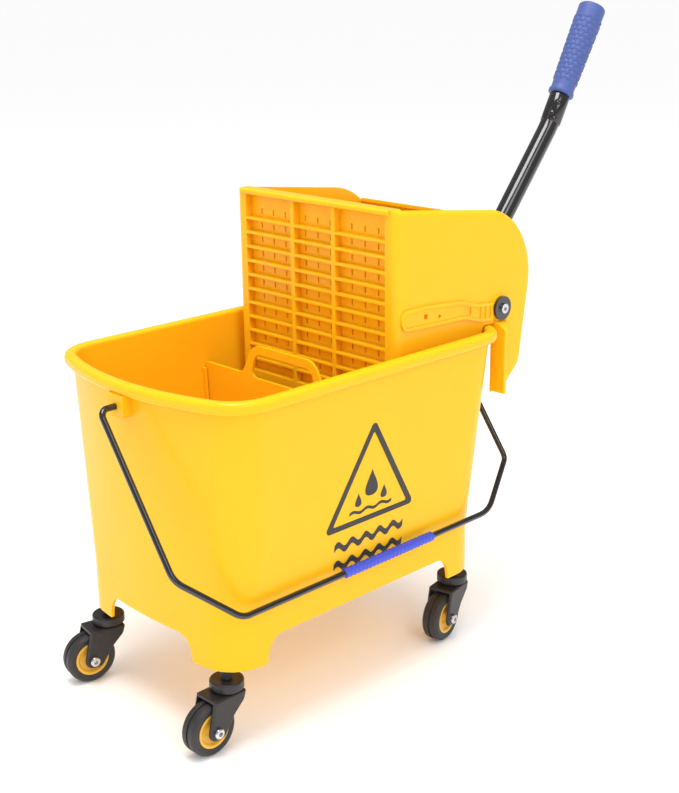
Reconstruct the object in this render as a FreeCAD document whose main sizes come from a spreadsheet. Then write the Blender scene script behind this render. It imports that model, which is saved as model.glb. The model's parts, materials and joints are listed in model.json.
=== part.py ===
import FreeCAD, Part
import Sketcher
import math
import os
import re

from FreeCAD import Placement, Rotation, Vector

# Wheeled mop bucket with a side-press wringer, in millimetres.
# Frame: +X from the pouring end to the wringer end, +Z up, the floor at z = 0,
# X = 0 midway between the front and rear caster stems, Y = 0 the plane of symmetry.

doc = FreeCAD.newDocument("mop_bucket")
sheet = doc.addObject("Spreadsheet::Sheet", "sizes")

# Driving dimensions: alias, value, meaning.
DIMENSIONS = [
    ("stem_x", 154.5, "caster stem from the middle, along the length"),
    ("stem_y", 91.5, "caster stem from the middle, across"),
    ("wall", 3.4, "moulded wall of the bucket"),
    ("leg_bottom", 76, "underside of the legs above the floor"),
    ("skirt_top", 125, "height where the upright skirt meets the sloping wall"),
    ("tub_floor", 112, "inside floor of the bucket"),
    ("rim_low", 321, "underside of the rim band"),
    ("rim_top", 333, "top of the rim"),
    ("rim_half", 135, "half width over the rim"),
    ("rim_front", 192, "front of the rim at its crown"),
    ("rim_rear", 188, "rear of the rim"),
    ("rim_bow", 300, "radius of the bowed front of the rim"),
    ("rim_front_corner", 46, "front corner radius of the rim"),
    ("rim_rear_corner", 35, "rear corner radius of the rim"),
    ("rim_round", 4.8, "rounding of the rim's edges"),
    ("rim_overhang", 8, "how far the rim stands out from the wall"),
    ("base_half", 113, "half width of the skirt"),
    ("base_front", 173, "front of the skirt at its crown"),
    ("base_rear", 171, "rear of the skirt"),
    ("base_bow", 600, "radius of the bowed front of the skirt"),
    ("base_front_corner", 38, "front corner radius of the skirt"),
    ("base_rear_corner", 34, "rear corner radius of the skirt"),
    ("arch_top", 101, "top of the arches between the legs"),
    ("arch_round", 17, "radius at the top corners of an arch"),
    ("side_arch_low", 124, "half length of a side arch at its foot"),
    ("side_arch_high", 119, "half length of a side arch at its top"),
    ("end_arch_low", 64, "half width of an end arch at its foot"),
    ("end_arch_high", 59, "half width of an end arch at its top"),
    ("boss_radius", 8, "stem socket in each leg"),
    ("stem_radius", 5, "threaded caster stem"),
    ("pivot_z", 311, "bail pivot height"),
    ("wire_radius", 3, "bail wire"),
    ("bail_front", 209, "front arm of the bail from the middle"),
    ("bail_rear", 232, "rear arm of the bail from the middle"),
    ("bail_tilt", 35.5, "tilt of the hanging bail from upright, in degrees"),
    ("bail_shoulder", 161, "pivot axis to the first bend of each arm"),
    ("bail_reach", 212, "pivot axis to the bar that is held"),
    ("bail_bar_front", 159, "front end of the bail's bar"),
    ("bail_bar_rear", 174, "rear end of the bail's bar"),
    ("bail_grip_radius", 5, "sleeve on the bail's bar"),
    ("bail_grip_length", 122, "length of that sleeve"),
    ("divider_x", 5, "middle of the divider"),
    ("divider_thick", 3, "divider plate"),
    ("divider_top", 287, "top edge of the divider"),
    ("divider_handle_top", 319, "top of the divider's handle"),
    ("cheek_outer", 110.8, "outside of the wringer's cheeks"),
    ("cheek_wall", 3.5, "thickness of a cheek"),
    ("grille_front", 46, "front faces of the grille's ribs"),
    ("recess", 8, "depth of the ribs"),
    ("sheet_back", 57.5, "inside face of the front wall"),
    ("basket_floor", 262, "underside of the wringer's basket"),
    ("wringer_top", 464, "top of the front lip"),
    ("rib_pitch", 14.66, "spacing of the horizontal ribs"),
    ("rib_top", 434, "height of the top horizontal rib"),
    ("shaft_x", 198, "cross shaft, along the length"),
    ("shaft_z", 348, "cross shaft height"),
    ("shaft_radius", 6, "cross shaft"),
    ("crank", 40, "crank pin from the cross shaft"),
    ("crank_angle", 37.5, "crank at rest behind upright, in degrees"),
    ("crank_pin_radius", 4, "crank pin"),
    ("plate_x", 150, "front face of the press plate at rest"),
    ("plate_thick", 3.5, "press plate"),
    ("plate_travel", 48.7, "full travel of the press plate"),
    ("guide_z", 354, "height of the guide slots and pins"),
    ("guide_pin_radius", 3, "guide pin on the press plate"),
    ("lever_y", -61, "middle of the lever, across"),
    ("lever_radius", 10, "lever tube"),
    ("lever_wall", 1.5, "wall of the lever tube"),
    ("lever_lower", 50.1, "lean of the lower lever above horizontal, in degrees"),
    ("lever_upper", 59.8, "lean of the upper lever above horizontal, in degrees"),
    ("lever_bend", 216, "cross shaft to the bend of the lever"),
    ("grip_start", 34, "bend to the foot of the lever's grip"),
    ("grip_length", 103, "length of the lever's grip"),
    ("grip_foot_radius", 12.4, "foot of the grip"),
    ("grip_head_radius", 14.6, "head of the grip"),
    ("cap_radius", 15.8, "swivel cap of a caster"),
    ("cap_low", 57, "underside of the swivel cap"),
    ("cap_high", 65.7, "top of the swivel cap"),
    ("fork_top", 55.8, "top of the fork's plate"),
    ("fork_half", 14, "half width over the fork"),
    ("fork_leg", 2.8, "thickness of a fork leg"),
    ("trail", 23, "wheel axle behind the stem"),
    ("wheel_radius", 25, "outside of a tyre"),
    ("tyre_half", 9.5, "half width of a tyre"),
    ("hub_radius", 17, "outside of a hub"),
    ("axle_radius", 3, "axle bolt"),
    ("running_gap", 0.05, "radial clearance of a pin in its hole"),
]
for row, (alias, value, meaning) in enumerate(DIMENSIONS, 1):
    sheet.set(f"A{row}", meaning)
    sheet.set(f"B{row}", str(value))
    sheet.setAlias(f"B{row}", alias)
doc.recompute()


class Size:
    """The driving dimensions as numbers, read back from the sheet."""


for alias, _, _ in DIMENSIONS:
    setattr(Size, alias, float(sheet.get(alias)))
ALIASES = {alias for alias, _, _ in DIMENSIONS}

PARTS = []


def formula(text):
    """Writes aliases as references to the sheet."""
    return re.sub(r"[a-z]\w*", lambda m: f"sizes.{m[0]}" if m[0] in ALIASES else m[0], text)


def bind(thing, **formulas):
    for name, text in formulas.items():
        thing.setExpression(name.replace("__", "."), formula(text))
    return thing


def place(thing, x=0, y=0, z=0, axis=(0, 0, 1), turn=0):
    thing.Placement = Placement(Vector(x, y, z), Rotation(Vector(*axis), turn))
    return thing


def keep(thing, label):
    """Marks an object as a finished sub-part and names its file."""
    thing.Label = label
    PARTS.append(thing)
    return thing


# ---------------------------------------------------------------- Part primitives


def cylinder(radius, height, x=0, y=0, z=0, along="z"):
    """A cylinder that starts at x, y, z and runs along a positive axis."""
    made = doc.addObject("Part::Cylinder", "rod")
    turn = {"x": ((0, 1, 0), 90), "y": ((1, 0, 0), -90), "z": ((0, 0, 1), 0)}[along]
    place(made, x, y, z, *turn)
    return bind(made, Radius=radius, Height=height)


def fuse(*things):
    made = doc.addObject("Part::MultiFuse", "joined")
    made.Shapes = list(things)
    return made


def cut(base, *tools):
    made = doc.addObject("Part::Cut", "cut")
    made.Base = base
    made.Tool = tools[0] if len(tools) == 1 else fuse(*tools)
    return made


def group(*things):
    """Several separate solids in one node."""
    made = doc.addObject("Part::Compound", "set")
    made.Links = list(things)
    return made


# ---------------------------------------------------------------- PartDesign helpers


def new_body(label):
    return keep(doc.addObject("PartDesign::Body", label), label)


def sketch_on(body, role, offset="0"):
    """A sketch on one of the body's own planes. XZ faces -Y and YZ faces +X."""
    made = body.newObject("Sketcher::SketchObject", "outline")
    face = next(f for f in body.Origin.OriginFeatures if f.Role == role)
    made.AttachmentSupport = [(face, "")]
    made.MapMode = "FlatFace"
    bind(made, AttachmentOffset__Base__z=offset)
    return made


def rounded(points, radii):
    """Edges of a closed polygon whose corners are rounded with tangent arcs."""
    count = len(points)
    joins = []
    for i, radius in enumerate(radii):
        corner = Vector(*points[i], 0)
        back = (Vector(*points[i - 1], 0) - corner).normalize()
        ahead = (Vector(*points[(i + 1) % count], 0) - corner).normalize()
        if radius == 0:
            joins.append((corner, None, corner))
            continue
        half = back.getAngle(ahead) / 2
        run = radius / math.tan(half)
        middle = (back + ahead).normalize() * (radius / math.sin(half) - radius)
        joins.append((corner + back * run, corner + middle, corner + ahead * run))
    edges = []
    for i, (start, middle, end) in enumerate(joins):
        if middle is not None:
            edges.append(Part.Arc(start, middle, end))
        following = joins[(i + 1) % count][0]
        if end.distanceToPoint(following) > 1e-6:
            edges.append(Part.LineSegment(end, following))
    return edges


def oblong(left, low, right, high):
    """Corners of an upright rectangle, anticlockwise from its lower left one."""
    return [(left, low), (right, low), (right, high), (left, high)]


def draw(sketch, edges):
    for edge in edges:
        sketch.addGeometry(edge, False)


def draw_circle(sketch, x, y, radius):
    """A circle whose radius and centre are bound to the sheet by formulas."""
    index = sketch.addGeometry(Part.Circle(Vector(), Vector(0, 0, 1), 1), False)
    for kind, text in (("DistanceX", x), ("DistanceY", y)):
        name = f"{kind}{index}"
        here = sketch.addConstraint(Sketcher.Constraint(kind, -1, 1, index, 3, 1.0))
        sketch.renameConstraint(here, name)
        sketch.setExpression(f"Constraints.{name}", formula(text))
    here = sketch.addConstraint(Sketcher.Constraint("Radius", index, 1.0))
    sketch.renameConstraint(here, f"Radius{index}")
    sketch.setExpression(f"Constraints.Radius{index}", formula(radius))


def pad(body, sketch, length, both_ways=False, backwards=False):
    made = body.newObject("PartDesign::Pad", "pad")
    made.Profile = sketch
    made.Midplane = both_ways
    made.Reversed = backwards
    return bind(made, Length=length)


def pocket(body, sketch, length, both_ways=False, backwards=False):
    made = body.newObject("PartDesign::Pocket", "pocket")
    made.Profile = sketch
    made.Midplane = both_ways
    made.Reversed = backwards
    return bind(made, Length=length)


def loft(body, kind, sketches):
    made = body.newObject(f"PartDesign::{kind}", "loft")
    made.Profile = sketches[0]
    made.Sections = sketches[1:]
    made.Ruled = True
    return made


def row_of(body, feature, role, length, count):
    """Repeats a feature along the normal of one of the body's axes."""
    made = body.newObject("PartDesign::LinearPattern", "repeat")
    made.Originals = [feature]
    made.Direction = (next(f for f in body.Origin.OriginFeatures if f.Role == role), [""])
    made.Occurrences = count
    bind(made, Length=length)
    body.Tip = made
    return made


def mirrored(body, features, role):
    made = body.newObject("PartDesign::Mirrored", "mirror")
    made.Originals = features
    made.MirrorPlane = (next(f for f in body.Origin.OriginFeatures if f.Role == role), [""])
    body.Tip = made
    return made


def soften(body, radius, chosen):
    """Fillets the edges of the body's last shape that the test picks. The radius is a formula."""
    doc.recompute()
    base = body.Tip
    names = [f"Edge{i}" for i, edge in enumerate(base.Shape.Edges, 1) if chosen(edge)]
    made = body.newObject("PartDesign::Fillet", "fillet")
    made.Base = (base, names)
    bind(made, Radius=radius)
    doc.recompute()
    return made


# ---------------------------------------------------------------- bucket


def tub_outline(front, bow, half, corner, rear, rear_corner, inward=0.0):
    """Plan of the bucket: a bowed front, straight sides and rear, four round corners."""
    front, bow, half = front - inward, bow - inward, half - inward
    rear, corner, rear_corner = rear - inward, corner - inward, rear_corner - inward
    bow_x = bow - front
    corner_y = half - corner
    corner_x = bow_x - math.sqrt((bow - corner) ** 2 - corner_y**2)
    lean = math.atan2(corner_y, bow_x - corner_x)
    rear_x, rear_y = rear - rear_corner, half - rear_corner

    def on(x, y, radius, angle):
        return Vector(x + radius * math.cos(angle), y + radius * math.sin(angle), 0)

    flat = math.pi
    up = math.pi / 2
    diagonal = math.pi / 4
    front_mid = (flat - lean + up) / 2
    edges = [
        Part.Arc(
            on(bow_x, 0, bow, flat + lean),
            on(bow_x, 0, bow, flat),
            on(bow_x, 0, bow, flat - lean),
        )
    ]
    edges.append(
        Part.Arc(
            on(corner_x, corner_y, corner, flat - lean),
            on(corner_x, corner_y, corner, front_mid),
            on(corner_x, corner_y, corner, up),
        )
    )
    edges.append(Part.LineSegment(Vector(corner_x, half, 0), Vector(rear_x, half, 0)))
    edges.append(
        Part.Arc(
            on(rear_x, rear_y, rear_corner, up),
            on(rear_x, rear_y, rear_corner, diagonal),
            on(rear_x, rear_y, rear_corner, 0),
        )
    )
    edges.append(Part.LineSegment(Vector(rear, rear_y, 0), Vector(rear, -rear_y, 0)))
    edges.append(
        Part.Arc(
            on(rear_x, -rear_y, rear_corner, 0),
            on(rear_x, -rear_y, rear_corner, -diagonal),
            on(rear_x, -rear_y, rear_corner, -up),
        )
    )
    edges.append(Part.LineSegment(Vector(rear_x, -half, 0), Vector(corner_x, -half, 0)))
    edges.append(
        Part.Arc(
            on(corner_x, -corner_y, corner, -up),
            on(corner_x, -corner_y, corner, -front_mid),
            on(corner_x, -corner_y, corner, lean - flat),
        )
    )
    return edges


def rim_outline(inward=0.0):
    return tub_outline(
        Size.rim_front,
        Size.rim_bow,
        Size.rim_half,
        Size.rim_front_corner,
        Size.rim_rear,
        Size.rim_rear_corner,
        inward,
    )


def base_outline(inward=0.0):
    return tub_outline(
        Size.base_front,
        Size.base_bow,
        Size.base_half,
        Size.base_front_corner,
        Size.base_rear,
        Size.base_rear_corner,
        inward,
    )


def inner_half(z):
    """Half width of the cavity at height z."""
    low = Size.base_half - Size.wall
    high = Size.rim_half - Size.rim_overhang - Size.wall
    share = (z - Size.tub_floor) / (Size.rim_top - Size.tub_floor)
    return low + (high - low) * share


def rim_edge(inward, height):
    """A test for level edges that run at a distance inside the rim's outline."""

    def chosen(edge):
        box = edge.BoundBox
        if box.ZLength > 0.01 or abs(box.ZMin - height) > 0.01:
            return False
        outline = Part.Wire(Part.sortEdges([e.toShape() for e in rim_outline(inward)])[0])
        outline.translate(Vector(0, 0, height))
        middle = edge.valueAt((edge.FirstParameter + edge.LastParameter) / 2)
        return outline.distToShape(Part.Vertex(middle))[0] < 0.01

    return chosen


STEMS = [(-1, -1), (-1, 1), (1, -1), (1, 1)]
PIVOT_PAD_HALF = 11
PIVOT_PAD_DEPTH = 10
PIVOT_PAD_X = 193
PIVOT_HOLE_DEPTH = 10
STUB_IN_PAD = 8.5
PAD_ROOT_X = 150
RIB_LAP = 3.8


def make_bucket():
    body = new_body("bucket_shell")
    levels = []
    for height, edges in (
        ("leg_bottom", base_outline()),
        ("skirt_top", base_outline()),
        ("rim_low + 1", rim_outline(Size.rim_overhang)),
    ):
        level = sketch_on(body, "XY_Plane", height)
        draw(level, edges)
        levels.append(level)
    loft(body, "AdditiveLoft", levels)
    rim = sketch_on(body, "XY_Plane", "rim_low")
    draw(rim, rim_outline())
    pad(body, rim, "rim_top - rim_low")
    soften(body, "rim_round", rim_edge(0, Size.rim_top))
    soften(body, "rim_round", rim_edge(0, Size.rim_low))
    for side in (-1, 1):
        # Pads under the rim that carry the bail's pivots.
        start = sketch_on(body, "YZ_Plane", str(side * PAD_ROOT_X))
        low, high = Size.pivot_z - PIVOT_PAD_DEPTH, Size.rim_low + 1
        corners = oblong(-PIVOT_PAD_HALF, low, PIVOT_PAD_HALF, high)
        draw(start, rounded(corners, [4, 4, 0, 0]))
        pad(body, start, str(PIVOT_PAD_X - PAD_ROOT_X), backwards=side < 0)
    cavity = []
    for height, edges in (
        ("tub_floor", base_outline(Size.wall)),
        ("rim_top", rim_outline(Size.rim_overhang + Size.wall)),
    ):
        level = sketch_on(body, "XY_Plane", height)
        draw(level, edges)
        cavity.append(level)
    loft(body, "SubtractiveLoft", cavity)
    soften(body, "0.8 * rim_round", rim_edge(Size.rim_overhang + Size.wall, Size.rim_top))
    under = sketch_on(body, "XY_Plane", "leg_bottom")
    draw(under, base_outline(Size.wall))
    pocket(body, under, "tub_floor - wall - leg_bottom", backwards=True)
    sockets = sketch_on(body, "XY_Plane", "leg_bottom + 1")
    for x, y in STEMS:
        draw_circle(sockets, f"{x} * stem_x", f"{y} * stem_y", "boss_radius")
    pad(body, sockets, "tub_floor - leg_bottom - 2")
    holes = sketch_on(body, "XY_Plane", "leg_bottom")
    for x, y in STEMS:
        draw_circle(holes, f"{x} * stem_x", f"{y} * stem_y", "stem_radius")
    pocket(body, holes, "24", backwards=True)
    for role, low, high in (
        ("XZ_Plane", Size.side_arch_low, Size.side_arch_high),
        ("YZ_Plane", Size.end_arch_low, Size.end_arch_high),
    ):
        arch = sketch_on(body, role)
        foot = Size.leg_bottom - 6
        corners = [(-low, foot), (low, foot), (high, Size.arch_top), (-high, Size.arch_top)]
        draw(arch, rounded(corners, [0, 0, Size.arch_round, Size.arch_round]))
        pocket(body, arch, "500", both_ways=True)
    ribs = sketch_on(body, "YZ_Plane", f"divider_x - divider_thick / 2 - {RIB_LAP}")
    low, high = Size.tub_floor - 1, Size.divider_top - 6
    for side in (-1, 1):
        corners = [
            (side * (inner_half(low) - 4), low),
            (side * (inner_half(low) + 1), low),
            (side * (inner_half(high) + 1), high),
            (side * (inner_half(high) - 4), high),
        ]
        draw(ribs, rounded(corners, [0, 0, 0, 0]))
    rib = pad(body, ribs, "3")
    row_of(body, rib, "X_Axis", "divider_thick + 4.6", 2)
    pivots = sketch_on(body, "YZ_Plane", str(-PIVOT_PAD_X))
    draw_circle(pivots, "0", "pivot_z", "wire_radius + running_gap")
    pocket(body, pivots, str(PIVOT_HOLE_DEPTH), backwards=True)
    pivots = sketch_on(body, "YZ_Plane", str(PIVOT_PAD_X))
    draw_circle(pivots, "0", "pivot_z", "wire_radius + running_gap")
    pocket(body, pivots, str(PIVOT_HOLE_DEPTH))
    return body


# ---------------------------------------------------------------- divider


def make_divider():
    body = new_body("divider")
    plate = sketch_on(body, "YZ_Plane", "divider_x")
    low, high = Size.tub_floor + 1.5, Size.divider_top
    foot, head = inner_half(low) - 0.9, inner_half(high) - 0.9
    handle_top = Size.divider_handle_top
    corners = [(-foot, low), (foot, low), (head, high), (60, high)]
    corners += [(44, handle_top), (-44, handle_top), (-60, high), (-head, high)]
    draw(plate, rounded(corners, [4, 4, 3, 12, 18, 18, 12, 3]))
    pad(body, plate, "divider_thick", both_ways=True)
    grip = sketch_on(body, "YZ_Plane", "divider_x")
    corners = [(-48, high - 2), (48, high - 2), (40, handle_top - 9), (-40, handle_top - 9)]
    draw(grip, rounded(corners, [6, 6, 10, 10]))
    pocket(body, grip, "20", both_ways=True)
    slots = sketch_on(body, "YZ_Plane", "divider_x")
    for y in range(-80, 81, 20):
        draw(slots, rounded(oblong(y - 5, low + 10, y + 5, low + 16), [2] * 4))
    slot = pocket(body, slots, "20", both_ways=True)
    row_of(body, slot, "Z_Axis", "22", 2)
    return body


# ---------------------------------------------------------------- wringer

SADDLE_LOW = 333.4
SADDLE_HIGH = 336.5
SADDLE_REAR = 189
NOTCH = [(163, 240), (189.6, 240), (189.6, SADDLE_LOW), (172.6, SADDLE_LOW)]
HOUSING_LOW = 300
HOUSING_OPEN_REAR = 222
SIDE_ROUND = 75
GRILLE_HALF = 97
GRILLE_LOW = 275
GRILLE_HIGH = 458
LOZENGE = [
    (52, 350),
    (93, 348.2),
    (142, 346.5),
    (164, 339.7),
    (185.3, 337.2),
    (185.3, 355.2),
    (160, 358.5),
    (140, 365),
    (91.7, 369.4),
    (52, 369.4),
]
LOZENGE_ROUND = [9.6, 20, 8, 10, 1, 1, 10, 10, 20, 9.6]
RECESS_ROUND = [6.3, 16, 6, 8, 0.5, 0.5, 8, 8, 16, 6.3]
HOOK_PLAN = [(189.5, -109.8), (189.5, -126), (193, -126), (210, -109.8)]
HOOK_LOW = 262
HOOK_HIGH = 336


def inset(points, distance):
    """Moves the sides of a closed anticlockwise polygon inward."""
    made = []
    count = len(points)
    for i, point in enumerate(points):
        here = Vector(*point, 0)
        back = (here - Vector(*points[i - 1], 0)).normalize()
        ahead = (Vector(*points[(i + 1) % count], 0) - here).normalize()
        inward_back = Vector(-back.y, back.x, 0)
        inward_ahead = Vector(-ahead.y, ahead.x, 0)
        middle = (inward_back + inward_ahead).normalize()
        moved = here + middle * (distance / middle.dot(inward_back))
        made.append((moved.x, moved.y))
    return made


def make_wringer():
    body = new_body("wringer_body")
    front, top = Size.grille_front, Size.wringer_top
    side = sketch_on(body, "XZ_Plane")
    outline = [
        (front, Size.basket_floor),
        (210.2, 258.4),
        (236, 283),
        (259.6, 439.7),
        (front + 12, top),
        (front, top),
    ]
    draw(side, rounded(outline, [3, 14, 12, SIDE_ROUND, 30, 0]))
    pad(body, side, "2 * cheek_outer", both_ways=True)

    def front_corner(edge):
        box = edge.BoundBox
        return box.ZLength > 150 and abs(box.XMax - front) < 0.01 and box.XLength < 0.01

    soften(body, "7.5", front_corner)
    skin = Size.cheek_wall - 0.5
    _, _, inner_foot, inner_corner, inner_top, _ = inset(outline, skin)
    share = (HOUSING_LOW - inner_foot[1]) / (inner_corner[1] - inner_foot[1])
    inner_low_x = inner_foot[0] + share * (inner_corner[0] - inner_foot[0])
    inside = sketch_on(body, "XZ_Plane")
    corners = [
        (Size.sheet_back, Size.basket_floor + 3),
        (161, Size.basket_floor + 3),
        (161, SADDLE_HIGH),
        (SADDLE_REAR, SADDLE_HIGH),
        (SADDLE_REAR, 240),
        (262, 240),
        (262, HOUSING_LOW),
        (inner_low_x, HOUSING_LOW),
        inner_corner,
        inner_top,
        (Size.sheet_back, inner_top[1]),
    ]
    draw(inside, rounded(corners, [3, 3, 1, 1, 0, 0, 0, 0, SIDE_ROUND - skin, 0, 0]))
    pocket(body, inside, "2 * (cheek_outer - cheek_wall)", both_ways=True)
    mouth = sketch_on(body, "XZ_Plane")
    draw(mouth, rounded(oblong(Size.sheet_back, 400, HOUSING_OPEN_REAR, top + 9), [0] * 4))
    pocket(body, mouth, "2 * (cheek_outer - cheek_wall)", both_ways=True)
    notch = sketch_on(body, "XZ_Plane")
    draw(notch, rounded(NOTCH, [0, 0, 1, 4]))
    pocket(body, notch, "3 * cheek_outer", both_ways=True)

    window = sketch_on(body, "YZ_Plane", "grille_front")
    draw(window, rounded(oblong(-GRILLE_HALF, GRILLE_LOW, GRILLE_HALF, GRILLE_HIGH), [3] * 4))
    pocket(body, window, "recess", backwards=True)
    rib = sketch_on(body, "YZ_Plane", "grille_front")
    half = GRILLE_HALF + 2
    draw(rib, rounded(oblong(-half, Size.rib_top - 1.25, half, Size.rib_top + 1.25), [0] * 4))
    rib = pad(body, rib, "recess + 1")
    row_of(body, rib, "Z_Axis", "10 * rib_pitch", 11).Reversed = True
    uprights = sketch_on(body, "YZ_Plane", "grille_front")
    for y in (-28.5, 28.5):
        draw(uprights, rounded(oblong(y - 2.5, GRILLE_LOW - 2, y + 2.5, GRILLE_HIGH + 2), [0] * 4))
    pad(body, uprights, "recess + 1")
    drains = sketch_on(body, "YZ_Plane", "grille_front")
    middle = Size.rib_top + Size.rib_pitch / 2
    for y in (-81.5, -64, -46.5, -17.5, 0, 17.5, 46.5, 64, 81.5):
        draw(drains, rounded(oblong(y - 1, middle - 3, y + 1, middle + 3), [0.8] * 4))
    drain = pocket(body, drains, "20", backwards=True)
    row_of(body, drain, "Z_Axis", "10 * rib_pitch", 11).Reversed = True
    lip = sketch_on(body, "XZ_Plane")
    corners = [(front - 2.5, top - 5.5), (front + 1, top - 5.5), (front + 1, top), (front - 2.5, top)]
    draw(lip, rounded(corners, [1.6, 0, 0, 2.4]))
    pad(body, lip, "205.2", both_ways=True)
    floor_holes = sketch_on(body, "XY_Plane", "basket_floor")
    for x in range(73, 151, 24):
        for y in range(-88, 89, 22):
            floor_holes.addGeometry(Part.Circle(Vector(x, y, 0), Vector(0, 0, 1), 4), False)
    pocket(body, floor_holes, "5", backwards=True)

    slot = sketch_on(body, "YZ_Plane", "200")
    draw(slot, rounded(oblong(Size.lever_y - 15.5, 378, Size.lever_y + 15.5, 482), [4, 4, 0, 0]))
    pocket(body, slot, "80", backwards=True)

    hook = sketch_on(body, "XY_Plane", str(HOOK_LOW))
    draw(hook, rounded(HOOK_PLAN, [0, 1, 3, 0]))
    hook = pad(body, hook, str(HOOK_HIGH - HOOK_LOW))
    slope = sketch_on(body, "YZ_Plane", "185")
    draw(slope, rounded([(-130, HOOK_HIGH - 10), (-111, HOOK_HIGH), (-111, 345), (-130, 345)], [0] * 4))
    slope = pocket(body, slope, "30", backwards=True)
    channel = sketch_on(body, "XZ_Plane", "cheek_outer - 1")
    draw(channel, rounded(LOZENGE, LOZENGE_ROUND))
    channel = pad(body, channel, "3.7")
    boss = sketch_on(body, "XZ_Plane", "cheek_outer - 1")
    draw_circle(boss, "shaft_x", "shaft_z", "14")
    boss = pad(body, boss, "2.9")
    recess = sketch_on(body, "XZ_Plane", "cheek_outer + 2.7")
    draw(recess, rounded(inset(LOZENGE, 3.2), RECESS_ROUND))
    recess = pocket(body, recess, "1.4")
    step = sketch_on(body, "XZ_Plane", "cheek_outer + 1.3")
    draw(step, rounded([(143, 350.2), (153, 348.2), (153, 356.2), (143, 358.2)], [0.8] * 4))
    step = pocket(body, step, "1.4")
    struts = sketch_on(body, "XZ_Plane", "cheek_outer + 1.2")
    for x in (167.6, 175.2):
        draw(struts, rounded(oblong(x - 0.8, 341.5, x + 0.8, 354), [0] * 4))
    struts = pad(body, struts, "1.5")
    marks = sketch_on(body, "XZ_Plane", "cheek_outer + 2")
    draw(marks, rounded(oblong(84, 356.5, 89, 361.5), [0.6] * 4))
    marks.addGeometry(Part.Circle(Vector(106, 356, 0), Vector(0, 0, 1), 1.8), False)
    marks = pocket(body, marks, "cheek_wall + 3")
    mirrored(body, [hook, slope, channel, boss, recess, step, struts, marks], "XZ_Plane")
    guide = sketch_on(body, "XZ_Plane")
    rear = Size.plate_x + Size.plate_thick / 2 + Size.guide_pin_radius + 1
    fore = rear - Size.plate_travel - 2 * Size.guide_pin_radius - 2
    low, high = Size.guide_z - 3.4, Size.guide_z + 3.4
    draw(guide, rounded(oblong(fore, low, rear, high), [3.3] * 4))
    pocket(body, guide, "2 * (cheek_outer - 0.5)", both_ways=True)
    bores = sketch_on(body, "XZ_Plane")
    draw_circle(bores, "shaft_x", "shaft_z", "shaft_radius + 3")
    pocket(body, bores, "3 * cheek_outer", both_ways=True)
    return body


def make_bushes():
    rings = []
    for start, flange in ((Size.cheek_outer - 5.8, 0), (-Size.cheek_outer - 1.9, 5.4)):
        sleeve = cylinder("shaft_radius + 3", "7.7", Size.shaft_x, start, Size.shaft_z, "y")
        collar = cylinder("shaft_radius + 5", "2.3", Size.shaft_x, start + flange, Size.shaft_z, "y")
        bore = cylinder("shaft_radius + running_gap", "9", Size.shaft_x, start - 0.5, Size.shaft_z, "y")
        rings.append(cut(fuse(sleeve, collar), bore))
    return keep(group(*rings), "shaft_bushes")


# ---------------------------------------------------------------- press plate


def make_press_plate():
    body = new_body("press_plate")
    plate = sketch_on(body, "YZ_Plane", "plate_x")
    draw(plate, rounded(oblong(-105.5, 267, 105.5, 436), [4] * 4))
    pad(body, plate, "plate_thick")
    holes = sketch_on(body, "YZ_Plane", "plate_x")
    for y in range(-84, 85, 24):
        for z in range(290, 421, 26):
            holes.addGeometry(Part.Circle(Vector(y, z, 0), Vector(0, 0, 1), 5), False)
    pocket(body, holes, "plate_thick", backwards=True)
    wing = sketch_on(body, "XZ_Plane", "99.5")
    start = Size.plate_x + 1
    draw(wing, rounded([(start, 362), (238.5, 362), (238.5, 398), (start, 420)], [0, 6, 6, 0]))
    wing = pad(body, wing, "4")
    pin = sketch_on(body, "XZ_Plane", "104")
    draw_circle(pin, "plate_x + plate_thick / 2", "guide_z", "guide_pin_radius")
    pin = pad(body, pin, "5.8")
    mirrored(body, [wing, pin], "XZ_Plane")
    yoke = sketch_on(body, "XZ_Plane")
    across = Size.shaft_x + Size.crank * math.sin(math.radians(Size.crank_angle))
    low = Size.shaft_z + Size.crank * math.cos(math.radians(Size.crank_angle)) - Size.crank_pin_radius - 1.2
    high = Size.shaft_z + Size.crank + Size.crank_pin_radius + 1.2
    half = Size.crank_pin_radius + 1.2
    draw(yoke, rounded(oblong(across - half, low, across + half, high), [2] * 4))
    pocket(body, yoke, "300", both_ways=True)
    return body


# ---------------------------------------------------------------- cross shaft and lever


def make_shaft():
    bar = cylinder("shaft_radius", "2 * (cheek_outer + 2.2)", Size.shaft_x, 0, Size.shaft_z, "y")
    bind(bar, Placement__Base__y="-cheek_outer - 2.2")
    ends = []
    for formula_y in ("-cheek_outer - 2.2", "cheek_outer + 2.2 - 14"):
        end = cylinder("3", "14", Size.shaft_x, 0, Size.shaft_z, "y")
        ends.append(bind(end, Placement__Base__y=formula_y))
    return keep(cut(bar, *ends), "cross_shaft")


def make_washers():
    rings = []
    for formula_y in ("-cheek_outer - 5.2", "cheek_outer + 2.2"):
        disc = cylinder("12.1", "3", Size.shaft_x, 0, Size.shaft_z, "y")
        bind(disc, Placement__Base__y=formula_y)
        bore = cylinder("3", "3", Size.shaft_x, 0, Size.shaft_z, "y")
        bind(bore, Placement__Base__y=formula_y)
        rings.append(cut(disc, bore))
    return keep(group(*rings), "shaft_washers")


def hex_head(across, height, x, y, z, along_y=1):
    """A hexagon head that stands on the plane y and rises along +Y or -Y."""
    made = doc.addObject("Part::Prism", "hexagon")
    place(made, x, y, z, (1, 0, 0), -90 * along_y)
    return bind(made, Circumradius=across, Height=height)


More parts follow.
